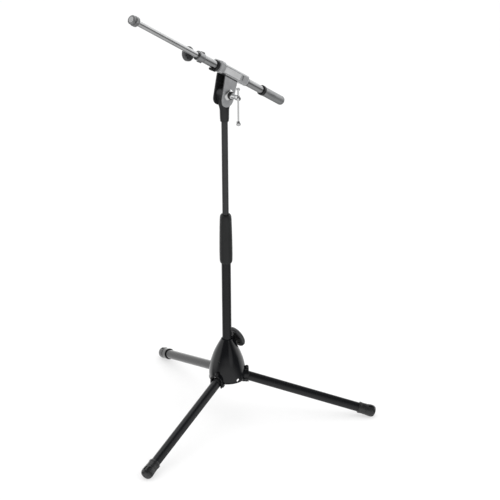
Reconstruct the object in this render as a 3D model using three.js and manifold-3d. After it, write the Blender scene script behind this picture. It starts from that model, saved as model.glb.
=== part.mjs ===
// Boom microphone stand: three folding legs, a two-part column with a hand-grip clutch, and a
// telescopic boom on a tilting clamp. Millimetres, +Z up. The origin is the centre of the underside
// of the column's end plug; the floor is at FLOOR_Z. +X is the boom's downhill side (the
// counterweight), and the tilt screw's handle is on the front, the -Y side.
import * as THREE from 'three';
import { mergeVertices } from 'three/addons/utils/BufferGeometryUtils.js';
import Module from 'manifold-3d';

const wasm = await Module();
wasm.setup();

// ---------------------------------------------------------------- driving dimensions
const FLOOR_Z = -97;
const GAP = 0.3;                        // clearance between neighbours
const DEG = Math.PI / 180;

const LEG_AZIMUTHS = [-45, 75, 195];    // leg directions about the column
const LEG_SLOPE = 17.6;                 // legs' slope below horizontal
const LEG_OD = 22.4, LEG_ID = 19.4;
const LEG_END_R = 348;                  // radius that sets the leg's length
const PIN_R = 45, PIN_Z = 6;            // leg pin's place
const PIN_D = 6;
const LEG_ABOVE_PIN = 4.9;              // from the pin up to the leg's centre line

const COLLAR_W = 30, COLLAR_OPENING_W = 23.8;
const COLLAR_OUT_R = 51;
const COLLAR_TOP_Z = 30, COLLAR_LOW_Z = 1.2;
const ARCH_ROOF_Z = COLLAR_TOP_Z - 2.6; // underside of the collar's roof
const STOP_SCREW_R = 46.5;
const SHROUD_SCREW_Z = 60;

const COLUMN_OD = 22, COLUMN_ID = 19;   // lower tube
const COLUMN_TOP_Z = 314;
const COLUMN_BORE_R = COLUMN_OD / 2 + GAP;
const MAST_OD = 15, MAST_ID = 12;       // upper tube
const MAST_R = MAST_OD / 2;
const MAST_LOW_Z = 128, MAST_TOP_Z = 672;
const GRIP_LOW_Z = 305.5;

// clamp knob's axis: height where it meets the column's axis, and rise above horizontal
const KNOB_Z = 92, KNOB_RISE = 20;

const PIVOT_Z = 720;                    // tilt pivot's height
const PIVOT_BORE_R = 4.35;
const TONGUE_HALF = 10.6;               // half thickness of the socket's tongue
const CHEEK_IN = 11.7, CHEEK_OUT = 14.7;
const CHEEK_LEAN = 18.5;                // cheeks' lean uphill, in the boom's axes
const TOMMY_BAR_Y = -45.7;

const BOOM_SLOPE = 33.3;                // tip side up
const BOOM_RISE = 46.2;                 // boom's axis above the pivot
const BOOM_OD = 18, BOOM_ID = 14;
const BOOM_FIT_R = BOOM_OD / 2 + GAP;
const BUSH_BORE_R = 9.25;
const BUSH_SCREW = [-66, 0, -12.1];     // about the boom's axis
const ROD_OD = 13, ROD_ID = 9.2;        // extension rod
const CLUTCH_X = -132.6;                // clutch knob's place along the boom
const CLUTCH_ROLL = -12;                // clutch knob's lean below the boom's side
const NOSE_BORE_R = 6.8;
const GRUB_X = 144;                     // grub screw's place along the boom

// ---------------------------------------------------------------- materials
const MATERIALS = {
  shell: { color: 0x1b1c1e, roughness: 0.3, metalness: 0 },
  casting: { color: 0x77797b, roughness: 0.45, metalness: 0.6 },
  tube: { color: 0x131415, roughness: 0.32, metalness: 0.3 },
  boom: { color: 0x8b8d8f, roughness: 0.3, metalness: 0.8 },
  rubber: { color: 0x202122, roughness: 0.85, metalness: 0 },
  plastic: { color: 0x17181a, roughness: 0.5, metalness: 0 },
  chrome: { color: 0xd8dadc, roughness: 0.12, metalness: 1 },
  steel: { color: 0x9a9c9e, roughness: 0.35, metalness: 0.9 },
  plate: { color: 0xb4b6b7, roughness: 0.35, metalness: 0.7 },
  weight: { color: 0x7a7c7e, roughness: 0.5, metalness: 0.4 },
  fibre: { color: 0x5b4a3a, roughness: 0.9, metalness: 0 },
  zinc: { color: 0x2a2b2d, roughness: 0.5, metalness: 0.4 },
};

// ---------------------------------------------------------------- geometry
// weld the vertices, drop empty triangles and make the faces point outwards
const weld = (geometry) => {
  geometry.deleteAttribute('normal');
  geometry.deleteAttribute('uv');
  const welded = mergeVertices(geometry, 1e-4);
  const corner = (i) => new THREE.Vector3().fromBufferAttribute(welded.attributes.position, i);
  const source = welded.index.array;
  const index = [];
  let volume = 0;
  for (let i = 0; i < source.length; i += 3) {
    const [a, b, c] = source.slice(i, i + 3);
    if (a === b || b === c || a === c) continue;
    index.push(a, b, c);
    volume += corner(a).dot(corner(b).cross(corner(c)));
  }
  if (volume < 0) index.reverse();
  welded.setIndex(index);
  return welded;
};

// solid of revolution about Z from [r, z] points, both ends on the axis
const lathe = (profile, fineness) => {
  const points = profile.map(([r, z]) => new THREE.Vector2(r, z));
  const facets = Math.max(10, 2 * Math.round(fineness * 0.25));
  const geometry = new THREE.LatheGeometry(points, facets);
  geometry.rotateX(Math.PI / 2);
  return weld(geometry);
};
// the same from a closed profile
const latheRing = (profile, fineness) => lathe([...profile, profile[0]], fineness);
const rod = (r, z0, z1, fineness, chamfer = 0) => lathe(chamfer
  ? [[0, z0], [r - chamfer, z0], [r, z0 + chamfer], [r, z1 - chamfer], [r - chamfer, z1], [0, z1]]
  : [[0, z0], [r, z0], [r, z1], [0, z1]], fineness);
const pipe = (outer, inner, z0, z1, fineness) =>
  latheRing([[inner, z0], [outer, z0], [outer, z1], [inner, z1]], fineness);

const box = (x0, x1, y0, y1, z0, z1) => {
  const geometry = new THREE.BoxGeometry(x1 - x0, y1 - y0, z1 - z0);
  geometry.translate((x0 + x1) / 2, (y0 + y1) / 2, (z0 + z1) / 2);
  return weld(geometry);
};
const extrude = (outline, depth) => {
  const shape = new THREE.Shape(outline.map(([x, y]) => new THREE.Vector2(x, y)));
  return new THREE.ExtrudeGeometry(shape, { depth, bevelEnabled: false, steps: 1 });
};
// prism from an outline in (x, y), between two z values
const prism = (outline, z0, z1) => weld(extrude(outline, z1 - z0).translate(0, 0, z0));
// prism from an outline in (x, z), between two y values
const slab = (outline, y0, y1) =>
  weld(extrude(outline, y1 - y0).rotateX(Math.PI / 2).translate(0, y1, 0));

// ---------------------------------------------------------------- outlines
const arc = (cx, cy, r, start, end, steps) => Array.from({ length: steps + 1 }, (_, i) => {
  const angle = (start + (end - start) * i / steps) * DEG;
  return [cx + r * Math.cos(angle), cy + r * Math.sin(angle)];
});
const roundRect = (x0, x1, y0, y1, r) => [
  ...arc(x1 - r, y0 + r, r, -90, 0, 3), ...arc(x1 - r, y1 - r, r, 0, 90, 3),
  ...arc(x0 + r, y1 - r, r, 90, 180, 3), ...arc(x0 + r, y0 + r, r, 180, 270, 3)];
// round-topped doorway shape
const arch = (halfWidth, top, low) =>
  [[-halfWidth, low], [halfWidth, low], ...arc(0, top - halfWidth, halfWidth, 0, 180, 10)];
const hexagon = (r) => Array.from({ length: 6 }, (_, i) =>
  [r * Math.cos(i * Math.PI / 3), r * Math.sin(i * Math.PI / 3)]);
// outline whose points lie by turns on the outer radius and `dip` inside it
const lobed = (outer, dip, count) => Array.from({ length: 2 * count }, (_, i) => {
  const angle = Math.PI * i / count;
  const r = i % 2 ? outer - dip : outer;
  return [r * Math.cos(angle), r * Math.sin(angle)];
});
// profile of [r, height] points moved up to z
const raise = (profile, z) => profile.map(([r, height]) => [r, z + height]);

// ---------------------------------------------------------------- solids
const solid = (geometry) => new wasm.Manifold(new wasm.Mesh({
  numProp: 3,
  vertProperties: new Float32Array(geometry.attributes.position.array),
  triVerts: new Uint32Array(geometry.index.array),
}));
// the geometry's +Z laid along +X, at a height z
const alongX = (geometry, z = 0) => solid(geometry.rotateY(90 * DEG).translate(0, 0, z));
// the geometry's +Z laid along -Y
const alongMinusY = (geometry) => solid(geometry.rotateX(90 * DEG));
// the geometry's +Z laid outward along the clamp knob's axis
const alongKnob = (geometry) =>
  solid(geometry.rotateY((90 - KNOB_RISE) * DEG)).translate([0, 0, KNOB_Z]);
const turn = (shape, azimuth) => shape.rotate([0, 0, azimuth]);
const cut = (shape, ...tools) => tools.reduce((left, tool) => left.subtract(tool), shape);
// cut holes along Z, evenly spaced on a circle
const cutRound = (shape, hole, count, radius, start = 0) => {
  for (let i = 0; i < count; i++) {
    const angle = (start + i * 360 / count) * DEG;
    const place = [radius * Math.cos(angle), radius * Math.sin(angle), 0];
    shape = shape.subtract(solid(hole).translate(place));
  }
  return shape;
};

// ---------------------------------------------------------------- scene
const addMesh = (parent, name, shape, material) => {
  const { vertProperties, triVerts } = shape.getMesh();
  const geometry = new THREE.BufferGeometry();
  geometry.setAttribute('position', new THREE.BufferAttribute(new Float32Array(vertProperties), 3));
  geometry.setIndex(new THREE.BufferAttribute(new Uint32Array(triVerts), 1));
  const mesh = new THREE.Mesh(geometry, new THREE.MeshStandardMaterial(MATERIALS[material]));
  mesh.name = name;
  parent.add(mesh);
};
const addGroup = (parent, x, y, z) => {
  const group = new THREE.Group();
  group.position.set(x, y, z);
  parent.add(group);
  return group;
};

const stand = new THREE.Group();

// ---------------------------------------------------------------- base shroud
// [r, z]: up the outside, then up the inside
const SHROUD_OUTSIDE = [
  [13.4, 109], [15.2, 106], [19.6, 98], [24.4, 89], [29, 79.5], [32.8, 70.5], [36.4, 60],
  [39.6, 49], [42, 37], [43.4, 25], [43.6, 17], [43.2, 11.5], [44, 10.3], [44, 8.3], [43.4, 7.5]];
const SHROUD_INSIDE = [
  [40.6, 7.5], [40.7, 25], [39.3, 37], [36.8, 49], [33.6, 60], [29.9, 70.5], [25.4, 80.5],
  [20.4, 90], [15.6, 99], [14.2, 103], [11.6, 104.5], [11.6, 109]];
// [r, z]: space kept clear of the collars, and of the knob's boss
const COLLAR_CLEARANCE = [[0, -20], [39, -20], [39, 30], [36, 50], [0, 50]];
const BOSS_CLEARANCE = [
  [0, 60], [27, 76], [21.5, 88], [17, 96], [14.6, 101.5], [12.6, 104.4], [12.6, 130], [0, 130]];

// arched collar round a leg, with a small lip round its mouth
const legCollar = (azimuth) => {
  const lip = 0.9;
  const body = solid(slab(arch(COLLAR_W / 2, COLLAR_TOP_Z, COLLAR_LOW_Z), -COLLAR_OUT_R, 0));
  const lipOutline = arch(COLLAR_W / 2 + lip, COLLAR_TOP_Z + lip, COLLAR_LOW_Z);
  const collar = body.add(solid(slab(lipOutline, -COLLAR_OUT_R, -COLLAR_OUT_R + 1.3)))
    .subtract(solid(lathe(COLLAR_CLEARANCE, 44)));
  return turn(collar, azimuth + 90);
};

const baseShroud = () => {
  let shroud = solid(latheRing([...SHROUD_OUTSIDE, ...SHROUD_INSIDE], 44));
  for (const azimuth of LEG_AZIMUTHS) shroud = shroud.add(legCollar(azimuth));
  for (const azimuth of LEG_AZIMUTHS) {
    const opening = slab(arch(COLLAR_OPENING_W / 2, ARCH_ROOF_Z, COLLAR_LOW_Z - 10), -80, -24);
    const pinHole = alongMinusY(rod(PIN_D / 2 + GAP, -22, 22, 20)).translate([PIN_R, 0, PIN_Z]);
    const stopHole = solid(rod(2.3, 15, 40, 16)).translate([STOP_SCREW_R, 0, 0]);
    const stopSeat = solid(rod(4.8, COLLAR_TOP_Z - 0.7, 50, 20)).translate([STOP_SCREW_R, 0, 0]);
    const screwHole = alongX(rod(2.6, -12, 12, 16)).translate([38, 0, SHROUD_SCREW_Z]);
    shroud = cut(shroud, turn(solid(opening), azimuth + 90),
      ...[pinHole, stopHole, stopSeat, screwHole].map((tool) => turn(tool, azimuth)));
  }
  // hole near the rim, between two legs
  const rimHole = alongX(rod(4, -8, 8, 20)).translate([42, 0, 14.4]);
  shroud = shroud.subtract(turn(rimHole, -97));
  // short raised boss with a way through for the clamp knob's stud
  const boss = alongKnob(rod(8.6, 14, 22.6, 24)).subtract(solid(lathe(BOSS_CLEARANCE, 44)));
  return shroud.add(boss).subtract(alongKnob(rod(6.6, 8, 50, 24)));
};
addMesh(stand, 'base_shroud', baseShroud(), 'shell');

// ---------------------------------------------------------------- base core
const RIB = [[14, 30], [35.5, 30], [35.5, 49], [28, 66], [14, 78]];   // [r, z]

const baseCore = () => {
  let core = solid(pipe(16.5, COLUMN_BORE_R, 1.6, 90, 36))
    .add(solid(pipe(13.8, COLUMN_BORE_R, 89, 101.5, 36)));
  // ribs midway between the legs
  for (const azimuth of LEG_AZIMUTHS) {
    core = core.add(turn(solid(slab(RIB, -1.6, 1.6)), azimuth + 60));
  }
  // threaded boss for the clamp screw
  core = core.add(alongKnob(rod(6.2, 12.5, 23.4, 24)));
  core = core.subtract(solid(rod(COLUMN_BORE_R, 0, 120, 36)));
  core = core.subtract(alongKnob(rod(3.9, 0, 40, 20)));
  // pads behind the shroud screws
  for (const azimuth of LEG_AZIMUTHS) {
    const pad = box(15.4, 31, -4, 4, SHROUD_SCREW_Z - 4.5, SHROUD_SCREW_Z + 4.5);
    const hole = alongX(rod(1.7, 24, 50, 14)).translate([0, 0, SHROUD_SCREW_Z]);
    core = core.add(turn(solid(pad), azimuth)).subtract(turn(hole, azimuth));
  }
  return core;
};
// plug between the clamp screw and the column, hollowed to the column
const clampShoe = () => alongKnob(rod(3.5, 11, 14.3, 20))
  .subtract(solid(rod(COLUMN_OD / 2 + 0.28, 60, 120, 36)));
addMesh(stand, 'base_core', baseCore(), 'zinc');
addMesh(stand, 'clamp_shoe', clampShoe(), 'plastic');

// ---------------------------------------------------------------- legs
const LEG_LENGTH = (LEG_END_R - PIN_R) / Math.cos(LEG_SLOPE * DEG);   // from the pin
const LEG_TUBE_END = LEG_LENGTH - 3;
const FOOT_START = LEG_LENGTH - 38;
const FOOT_BORE_R = LEG_OD / 2 + 0.25;
// [r, distance from FOOT_START]: lipped sleeve with a rounded closed end
const FOOT_OUTSIDE = [
  [FOOT_BORE_R, 0], [13.2, 0], [14.3, 1.2], [14.3, 4.6], [13.4, 5.6], [13.2, 11],
  [13.9, 24], [14.4, 32], [13.7, 37], [11.4, 40.6], [7, 42.3], [0, 42.5]];
// [r, z] from the collar's top
const STOP_SCREW = [
  [0, -3.9], [1.9, -3.9], [1.9, -0.4], [4.3, -0.4], [4.3, 4.8], [3.6, 6.2], [2.1, 7], [0, 7.2]];

const legPin = () => alongMinusY(rod(PIN_D / 2, -17, 17, 20))
  .add(alongMinusY(rod(4.2, 15.3, 17.6, 20, 0.6)))
  .add(alongMinusY(rod(4.2, -17.6, -15.3, 20, 0.6)));

const shroudScrew = () => alongX(rod(1.4, 29, 36.2, 12))
  .add(alongX(rod(2.3, 35, 36.2, 16)))
  .subtract(solid(box(35.7, 37, -0.4, 0.4, -3, 3)));

// round-nosed end that turns on the pin, and a spigot inside the tube
const legKnuckle = () => {
  // the nose is barrel-shaped about the pin, to clear the arch's round roof as the leg folds
  const openingR = COLLAR_OPENING_W / 2;
  const springHeight = ARCH_ROOF_Z - openingR - PIN_Z;
  const halfWidth = (r) => Math.sqrt(openingR ** 2 - Math.max(0, r - springHeight) ** 2) - 0.45;
  const half = [[0, 11.4], [9.5, 11.4], ...[12, 14.2, 16.2].map((r) => [r, halfWidth(r)])];
  const barrel = [...half.map(([r, y]) => [r, -y]), ...[...half].reverse()];
  return alongX(rod(LEG_OD / 2 - 0.05, -20, 4, 36), LEG_ABOVE_PIN)
    .intersect(solid(lathe(barrel, 48)).rotate([90, 0, 0]))
    .add(alongX(rod(LEG_ID / 2 - 0.25, 2, 42, 32), LEG_ABOVE_PIN))
    .subtract(solid(rod(PIN_D / 2 + 0.25, -30, 30, 20)).rotate([90, 0, 0]));
};

// rubber foot, flat where it meets the floor
const footCap = () => {
  const boreEnd = LEG_TUBE_END + GAP;
  const profile = [...raise(FOOT_OUTSIDE, FOOT_START), [0, boreEnd], [FOOT_BORE_R, boreEnd]];
  const belowFloor = solid(box(0, 900, -60, 60, -160, FLOOR_Z - PIN_Z)).rotate([0, -LEG_SLOPE, 0]);
  return alongX(latheRing(profile, 36), LEG_ABOVE_PIN).subtract(belowFloor);
};

LEG_AZIMUTHS.forEach((azimuth, i) => {
  const number = i + 1;
  const side = addGroup(stand, 0, 0, 0);
  side.rotation.z = azimuth * DEG;
  addMesh(addGroup(side, PIN_R, 0, PIN_Z), `leg_pin_${number}`, legPin(), 'steel');
  // screw through the collar's roof; its tip is the leg's stop
  addMesh(addGroup(side, STOP_SCREW_R, 0, COLLAR_TOP_Z),
    `leg_stop_screw_${number}`, solid(lathe(STOP_SCREW, 20)), 'plastic');
  addMesh(addGroup(side, 0, 0, SHROUD_SCREW_Z), `shroud_screw_${number}`, shroudScrew(), 'steel');

  // the leg's own axes: +X outward along the tube, at its slope
  const leg = addGroup(side, PIN_R, 0, PIN_Z);
  leg.rotation.y = LEG_SLOPE * DEG;
  const tube = alongX(pipe(LEG_OD / 2, LEG_ID / 2, 4.3, LEG_TUBE_END, 36), LEG_ABOVE_PIN);
  addMesh(leg, `leg_tube_${number}`, tube, 'tube');
  addMesh(leg, `leg_knuckle_${number}`, legKnuckle(), 'zinc');
  addMesh(leg, `foot_cap_${number}`, footCap(), 'rubber');
});

// ---------------------------------------------------------------- base knob, the clamp screw
const BASE_KNOB_R = 26.7;
// [r, distance along the knob's axis]
const BASE_KNOB = [
  [0, 26.6], [22, 26.6], [24.6, 27.4], [BASE_KNOB_R, 29], [BASE_KNOB_R, 33.6],
  [25, 35.6], [20, 36.6], [10, 37.4], [0, 37.6]];

const baseKnob = () => {
  let knob = solid(lathe(BASE_KNOB, 48));
  knob = cutRound(knob, rod(3.2, 20, 50, 12), 12, BASE_KNOB_R + 1.7);   // scallops in the edge
  knob = cutRound(knob, rod(3.8, 20, 31, 12), 6, 16, 15);               // pockets in the inner face
  return knob.add(solid(rod(8, 24.2, 27.5, 24))).subtract(solid(rod(3.9, 20, 32.8, 20)));
};
// +Z outward along the knob's axis
const knobGroup = addGroup(stand, 0, 0, KNOB_Z);
knobGroup.rotation.y = (90 - KNOB_RISE) * DEG;
addMesh(knobGroup, 'base_knob', baseKnob(), 'plastic');
addMesh(knobGroup, 'base_knob_stud', solid(rod(3.6, 14.7, 32.5, 20, 0.6)), 'steel');

// ---------------------------------------------------------------- column
const END_PLUG = [   // [r, z]
  [0, 0], [12.2, 0], [13, 0.8], [13, 1.3], [9.2, 1.5], [9.2, 18], [7, 18], [7, 4], [0, 4]];
// [r, z] from the lower tube's top
const CLUTCH_INSERT = [
  [MAST_R + 0.35, -30], [9.3, -30], [9.3, GAP], [11, GAP], [11, 26], [10, 27],
  [10, 62], [8.6, 62], [8.6, 30], [MAST_R + 0.35, 28]];
const COLLET = [
  [MAST_R + 0.2, 63], [9.6, 63], [11.1, 68], [11.1, 84], [9.4, 96], [MAST_R + 0.2, 96]];

// split by two crossed slots from above
const collet = () => cut(solid(latheRing(raise(COLLET, COLUMN_TOP_Z), 36)),
  ...[45, 135].map((azimuth) =>
    turn(solid(box(-0.8, 0.8, -15, 15, COLUMN_TOP_Z + 70, COLUMN_TOP_Z + 97)), azimuth)));

const lowerTube = pipe(COLUMN_OD / 2, COLUMN_ID / 2, 1.8, COLUMN_TOP_Z, 36);
addMesh(stand, 'lower_tube', solid(lowerTube), 'tube');
addMesh(stand, 'column_end_plug', solid(lathe(END_PLUG, 36)), 'plastic');
const clutchInsert = latheRing(raise(CLUTCH_INSERT, COLUMN_TOP_Z), 36);
addMesh(stand, 'clutch_insert', solid(clutchInsert), 'plastic');
addMesh(stand, 'collet', collet(), 'fibre');

// ---------------------------------------------------------------- hand grip
// [r, z] from the grip's lower end: up the outside, then down the inside
const HAND_GRIP = [
  [12.7, 0], [14.1, 2.2], [15, 9], [15.25, 30], [15.1, 55], [14.6, 82], [14, 105],
  [13.2, 116], [12, 120], [10.6, 121.5],
  [8.9, 121.5], [8.9, 117], [9.8, 113], [11.6, 100], [11.6, 6], [11.35, 4], [11.35, 0]];
addMesh(stand, 'hand_grip', solid(latheRing(raise(HAND_GRIP, GRIP_LOW_Z), 36)), 'rubber');
const wiperRing = pipe(8.6, MAST_R + 0.25, GRIP_LOW_Z + 117.4, GRIP_LOW_Z + 121, 32);
addMesh(stand, 'wiper_ring', solid(wiperRing), 'fibre');

// ---------------------------------------------------------------- mast
const MAST_FIT_R = MAST_R + 0.25;
// [r, z] from the mast's lower end
const GUIDE_BUSH = [
  [6.3, -4], [9, -4], [9.2, -3], [9.2, 20], [9, 21], [MAST_FIT_R, 21], [MAST_FIT_R, -0.4],
  [6.3, -0.4]];
const SOCKET_LOW_Z = MAST_TOP_Z - 23.5;
// [r, z] from SOCKET_LOW_Z
const SOCKET = [
  [0, 25], [MAST_FIT_R, 25], [MAST_FIT_R, 5.5], [9.2, 5.5], [10, 6.3], [10.1, 10.5],
  [10.45, 11.5], [10.9, 32], [10.9, 42], [9, 50], [0, 54]];
// round envelope that trims the tongue
const TONGUE_FLARE = [
  [0, 30], [10.6, 30], [11.2, 36], [13.2, 44], [17, 52], [20.5, 60]];

// socket on the mast's top, with a flat tongue round the pivot
const headSocket = () => {
  const tongue = [
    [-10, SOCKET_LOW_Z + 34], [10, SOCKET_LOW_Z + 34], [13.5, PIVOT_Z - 10],
    ...arc(0, PIVOT_Z, 15.6, -30, 210, 16), [-13.5, PIVOT_Z - 10]];
  const flare = [
    ...raise(TONGUE_FLARE, SOCKET_LOW_Z), [20.5, PIVOT_Z + 20], [0, PIVOT_Z + 20]];
  const trimmed = solid(slab(tongue, -TONGUE_HALF, TONGUE_HALF)).intersect(solid(lathe(flare, 36)));
  return solid(lathe(raise(SOCKET, SOCKET_LOW_Z), 36)).add(trimmed)
    .subtract(alongMinusY(rod(PIVOT_BORE_R, -20, 20, 20)).translate([0, 0, PIVOT_Z]));
};
addMesh(stand, 'guide_bush', solid(latheRing(raise(GUIDE_BUSH, MAST_LOW_Z), 32)), 'plastic');
addMesh(stand, 'upper_tube', solid(pipe(MAST_R, MAST_ID / 2, MAST_LOW_Z, MAST_TOP_Z, 32)), 'tube');
addMesh(stand, 'head_socket', headSocket(), 'shell');

// ---------------------------------------------------------------- boom head
// the boom's axes about the pivot: +X downhill, +Z from the pivot to the boom
const head = addGroup(stand, 0, 0, PIVOT_Z);
head.rotation.y = BOOM_SLOPE * DEG;

const leanBack = ([x, z]) => {
  const cos = Math.cos(CHEEK_LEAN * DEG), sin = Math.sin(CHEEK_LEAN * DEG);
  return [x * cos - z * sin, x * sin + z * cos];
};
const CHEEK_R = 18;
// [x, z] before leaning: strap with a round end below the pivot
const CHEEK = [
  [CHEEK_R + 2.2, 38], [-CHEEK_R - 2.2, 48], [-CHEEK_R - 0.2, -11],
  ...arc(0, -11, CHEEK_R, 180, 360, 16).slice(1, -1), [CHEEK_R + 0.2, -11]].map(leanBack);
// web on the downhill side of the fork
const WEB = [[CHEEK_R + 2.2, 38], [11, 44], [12.5, 10], [CHEEK_R + 0.2, 10]].map(leanBack);

// outline in (x, z) of the sunk panel on the block's front
const panel = (inset, cornerR) => roundRect(-41 + inset, 14.4 - inset,
  BOOM_RISE - 6.6 + inset, BOOM_RISE + 7.4 - inset, cornerR);

const boomClamp = () => {
  const blockOutline = roundRect(-11.6, 11.6, -CHEEK_OUT, CHEEK_OUT, 4.2);
  let clamp = solid(prism(blockOutline, -45, 39.5))
    .rotate([0, 90, 0]).translate([0, 0, BOOM_RISE + 0.6])
    .add(alongX(rod(11.1, 38, 47, 36), BOOM_RISE))
    .add(solid(slab(CHEEK, -CHEEK_OUT, -CHEEK_IN)))
    .add(solid(slab(CHEEK, CHEEK_IN, CHEEK_OUT)));
  // the web starts above the socket's round tongue
  const webZone = solid(box(-60, 60, -13, 13, 17.6, BOOM_RISE - 4));
  clamp = clamp.add(solid(slab(WEB, -12.2, 12.2)).intersect(webZone));
  // bore for the bush, pocket beside the panel, panel's recess, pivot bore
  return cut(clamp,
    alongX(rod(10.25, -80, 80, 36), BOOM_RISE),
    solid(box(18, 23.4, -16, -12, BOOM_RISE - 4, BOOM_RISE + 7.6)),
    solid(slab(panel(0, 1.5), -17, -13.9)),
    alongMinusY(rod(PIVOT_BORE_R, -20, 20, 20)));
};
addMesh(head, 'boom_clamp', boomClamp(), 'casting');
addMesh(head, 'blank_plate', solid(slab(panel(0.4, 1.2), -14.9, -14.2)), 'plate');

// washers midway between the tongue and the cheeks
const WASHER_Y = (TONGUE_HALF + CHEEK_IN) / 2;
for (const [side, y] of [['front', -WASHER_Y], ['back', WASHER_Y]]) {
  const washer = alongMinusY(pipe(14, 4.5, -0.25, 0.25, 36)).translate([0, y, 0]);
  addMesh(head, `friction_washer_${side}`, washer, 'fibre');
}

// [r, distance toward -Y], so negative distances are behind the pivot
const DOMED_WASHER = [
  [4.6, 15], [13, 15], [13.2, 16], [12.6, 17.6], [10.4, 19.6], [7.4, 20.8], [4.6, 21]];
const NUT_ROUNDING = [[0, -23.3], [6.2, -23.3], [7.6, -22.2], [7.6, -16], [0, -16]];
const backNut = () => solid(prism(hexagon(7.4), -23.2, -16.7))
  .intersect(solid(lathe(NUT_ROUNDING, 28)))
  .subtract(solid(rod(4.25, -30, -10, 20)))
  .rotate([90, 0, 0]);
addMesh(head, 'domed_washer', alongMinusY(latheRing(DOMED_WASHER, 36)), 'chrome');
addMesh(head, 'back_washer', alongMinusY(pipe(9, 4.6, -16.4, -15, 28)), 'steel');
addMesh(head, 'back_nut', backNut(), 'steel');

// [r, x]: sleeve inside the block, with a round collar at its uphill end
const BUSH = [
  [BUSH_BORE_R, -63.5], [11, -63.5], [11.7, -62.8], [11.7, -57.4], [10, -57.4], [10, 47.4],
  [10.7, 47.4], [10.7, 49], [BUSH_BORE_R, 49]];
// [x, z]: pinch nose under the bush's uphill end
const PINCH_NOSE = [
  [-71.5, -10.6], [-70.5, -9.4], [-57.5, -9.4], [-57.5, -14.2], [-60, -14.8], [-69.5, -14.8],
  [-71.5, -13.2]];
const boomBush = () => {
  const nose = solid(slab(PINCH_NOSE, -4.6, 4.6))
    .subtract(alongX(rod(BUSH_BORE_R, -90, 90, 36)));
  const slit = solid(box(-90, -57.7, -0.6, 0.6, -30, 0));
  const screwHole = alongMinusY(rod(1.6, -10, 10, 16)).translate(BUSH_SCREW);
  return cut(alongX(latheRing(BUSH, 36)).add(nose), slit, screwHole);
};
const bushScrew = () => alongMinusY(rod(1.3, -5.6, 5, 16))
  .add(alongMinusY(rod(2.3, 4.9, 6.6, 18, 0.5)))
  .translate(BUSH_SCREW);
// cap over the block's uphill end, a little prouder than the block on top
const clampEndCap = () => solid(prism(roundRect(-14.4, 12.2, -15, 15, 4.4), -56.8, -45.4))
  .rotate([0, 90, 0]).translate([0, 0, BOOM_RISE])
  .subtract(alongX(rod(10.3, -80, -30, 36), BOOM_RISE));
addMesh(head, 'clamp_end_cap', clampEndCap(), 'casting');
const bushGroup = addGroup(head, 0, 0, BOOM_RISE);
addMesh(bushGroup, 'boom_bush', boomBush(), 'plastic');
addMesh(bushGroup, 'bush_screw', bushScrew(), 'steel');

// ---------------------------------------------------------------- boom, about its own axis
const boom = addGroup(head, 0, 0, BOOM_RISE);
addMesh(boom, 'boom_tube', alongX(pipe(BOOM_OD / 2, BOOM_ID / 2, -124.6, 128, 36)), 'boom');

// profiles along the boom are [r, x]
const CLUTCH_BODY = [
  [BOOM_FIT_R, -124.9], [10.7, -124.9], [10.9, -124.3], [10.9, -107.6], [10.2, -105.6],
  [BOOM_FIT_R, -105.6]];
const CLUTCH_NOSE = [
  [NOSE_BORE_R, -140.8], [10.6, -140.8], [11.7, -139.6], [11.9, -137.6], [11.9, -126.6],
  [11.4, -125.3], [NOSE_BORE_R, -125.3]];
const CLUTCH_KNOB_R = 16.8;
// [r, distance from the boom's axis]
const CLUTCH_KNOB = [
  [0, 14.9], [6, 14.9], [6.6, 16], [14.8, 16], [16.6, 17.4], [CLUTCH_KNOB_R, 23],
  [15.4, 25.2], [11, 26.2], [0, 26.6]];

// a shape's +Z turned out along the clutch knob's axis, on the back (+Y) side
const alongClutch = (shape) =>
  shape.rotate([CLUTCH_ROLL - 90, 0, 0]).translate([CLUTCH_X, 0, 0]);

// ring with a tapered lug below and above
const clutchBody = () => [-1, 1].reduce((body, side) => {
  const lug = [
    [-120.6, side * 9.8], [-112.2, side * 9.8], [-113.2, side * 12.6], [-120, side * 12.6]];
  return body.add(solid(slab(lug, -4, 4)).subtract(alongX(rod(BOOM_FIT_R, -140, -100, 36))));
}, alongX(latheRing(CLUTCH_BODY, 36)));

const clutchNose = () => {
  const boss = alongClutch(solid(rod(5.9, 5, 14.4, 28, 0.5)))
    .subtract(alongX(rod(NOSE_BORE_R, -160, -110, 36)));
  return alongX(latheRing(CLUTCH_NOSE, 36)).add(boss)
    .subtract(alongClutch(solid(rod(3.3, 0, 30, 20))));
};
const clutchKnob = () => {
  const knob = cutRound(solid(lathe(CLUTCH_KNOB, 48)), rod(2.6, 12, 34, 12),
    10, CLUTCH_KNOB_R + 1.3);
  return alongClutch(knob.subtract(solid(rod(3.3, 10, 22.9, 20))));
};
addMesh(boom, 'clutch_body', clutchBody(), 'casting');
addMesh(boom, 'clutch_nose', clutchNose(), 'plastic');
addMesh(boom, 'clutch_knob', clutchKnob(), 'plastic');
addMesh(boom, 'clutch_knob_stud', alongClutch(solid(rod(3, 6.95, 22.6, 20, 0.5))), 'steel');

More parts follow.
